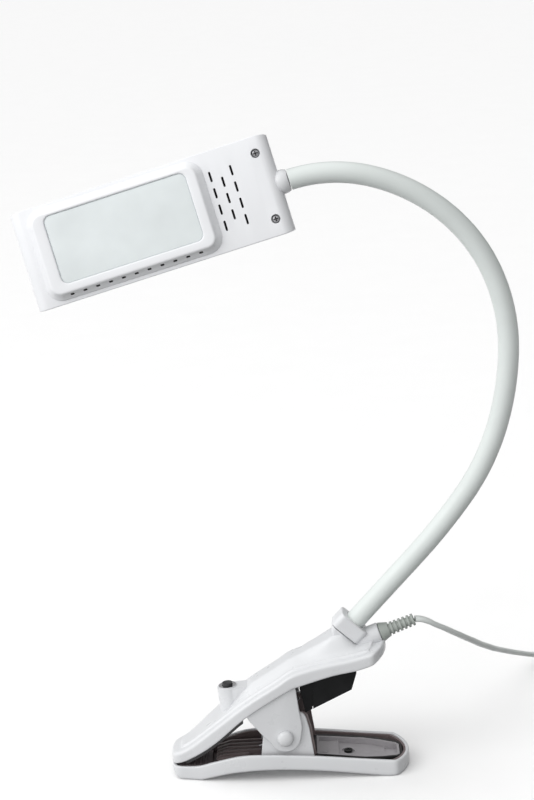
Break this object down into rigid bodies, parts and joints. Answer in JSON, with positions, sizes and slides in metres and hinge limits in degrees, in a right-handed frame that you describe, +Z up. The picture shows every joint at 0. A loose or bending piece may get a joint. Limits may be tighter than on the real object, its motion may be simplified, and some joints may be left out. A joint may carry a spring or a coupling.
{
  "type": "clip-on reading lamp",
  "caption": "Clip-on desk reading lamp: sprung two-jaw clip with push switch, long bendable neck and a flat rectangular LED head, with mains cord and plug.",
  "frame": {"origin": "middle of the lamp's outline on the surface its clip stands on, without the mains cord", "axes": "+X along the clip from its jaws to its handles, +Y away from the lit face of the head, +Z up"},
  "size_m": [0.4087, 0.2026, 0.3982],
  "materials": {
    "shell_plastic": "smooth moulded, slight gloss",
    "white_plastic": "smooth moulded, slight gloss",
    "lining_brown": "matt",
    "lining_black": "matt",
    "grip_rubber": "ribbed, matt",
    "tray_grey": "fine moulded grain",
    "screw_steel": "bright zinc",
    "pin_steel": "turned",
    "spring_steel": "drawn wire",
    "driver_black": "fine moulded grain",
    "board_green": "solder resist",
    "board_white": "white solder resist",
    "led_yellow": "phosphor",
    "plate_aluminium": "mill finish",
    "switch_chrome": "polished",
    "button_black": "satin",
    "neck_sleeve": "soft satin sleeve",
    "head_plastic": "smooth moulded, slight gloss",
    "bezel_plastic": "smooth moulded, slight gloss",
    "diffuser": "opal, satin",
    "cord_grey": "flexible PVC, satin",
    "tie_black": "plastic-covered wire"
  },
  "bodies": {
    "lower": {"lower_shell": "shell_plastic", "lower_liner": "lining_brown", "lower_grip": "grip_rubber", "handle_tray": "tray_grey", "tray_screw": "screw_steel", "pivot_pin": "pin_steel", "spring_lower": "spring_steel", "cord_tube": "cord_grey", "cord_coil": "cord_grey", "cord_tie": "tie_black", "plug_body": "white_plastic", "plug_pins": "pin_steel"},
    "upper": {"upper_shell": "shell_plastic", "upper_liner": "lining_black", "upper_grip": "grip_rubber", "pivot_cap_near": "white_plastic", "pivot_cap_far": "white_plastic", "spring_upper": "spring_steel", "driver_box": "driver_black", "driver_cover": "driver_black", "driver_board": "board_green", "neck_collar": "white_plastic", "switch_housing": "white_plastic", "switch_ring": "switch_chrome", "neck_section_0": "neck_sleeve", "strain_relief": "cord_grey"},
    "button": {"switch_button": "button_black"},
    "neck_1": {"neck_section_1": "neck_sleeve"},
    "neck_2": {"neck_section_2": "neck_sleeve"},
    "neck_3": {"neck_section_3": "neck_sleeve"},
    "neck_4": {"neck_section_4": "neck_sleeve"},
    "neck_5": {"neck_section_5": "neck_sleeve"},
    "neck_6": {"neck_section_6": "neck_sleeve"},
    "neck_7": {"neck_section_7": "neck_sleeve"},
    "head": {"head_knob": "white_plastic", "neck_socket": "plate_aluminium", "head_front": "head_plastic", "head_rear": "head_plastic", "bezel": "bezel_plastic", "diffuser": "diffuser", "led_board": "board_white", "leds": "led_yellow", "heat_plate": "plate_aluminium", "head_screws": "screw_steel"}
  },
  "joints": [
    {"name": "clip_open", "type": "hinge", "parent": "lower", "child": "upper", "pos_m": [-0.0025, 0, 0.028], "axis": [0, 1, 0], "range_deg": [0, 32], "stiffness_Nm_per_rad": 1.2, "springref_deg": -34.38, "deforming": ["cord_tube"]},
    {"name": "switch_press", "type": "slide", "parent": "upper", "child": "button", "axis": [0.0698, 0, -0.9976], "range_m": [0, 0.0015], "stiffness_N_per_m": 600, "springref_m": -0.001},
    {"name": "neck_bend_1", "type": "hinge", "parent": "upper", "child": "neck_1", "pos_m": [0.08168, 0, 0.13533], "axis": [0, 1, 0], "range_deg": [-8, 16]},
    {"name": "neck_bend_2", "type": "hinge", "parent": "neck_1", "child": "neck_2", "pos_m": [0.11238, 0, 0.17218], "axis": [0, 1, 0], "range_deg": [-8, 16]},
    {"name": "neck_bend_3", "type": "hinge", "parent": "neck_2", "child": "neck_3", "pos_m": [0.134, 0, 0.2148], "axis": [0, 1, 0], "range_deg": [-8, 16]},
    {"name": "neck_bend_4", "type": "hinge", "parent": "neck_3", "child": "neck_4", "pos_m": [0.14223, 0, 0.26194], "axis": [0, 1, 0], "range_deg": [-8, 16]},
    {"name": "neck_bend_5", "type": "hinge", "parent": "neck_4", "child": "neck_5", "pos_m": [0.13408, 0, 0.30889], "axis": [0, 1, 0], "range_deg": [-8, 16]},
    {"name": "neck_bend_6", "type": "hinge", "parent": "neck_5", "child": "neck_6", "pos_m": [0.10656, 0, 0.34768], "axis": [0, 1, 0], "range_deg": [-8, 16]},
    {"name": "neck_bend_7", "type": "hinge", "parent": "neck_6", "child": "neck_7", "pos_m": [0.06478, 0, 0.37051], "axis": [0, 1, 0], "range_deg": [-8, 16]},
    {"name": "head_swivel", "type": "hinge", "parent": "neck_7", "child": "head", "pos_m": [0.01737, 0, 0.37092], "axis": [-0.9655, 0, -0.2605], "range_deg": [-90, 90]}
  ]
}
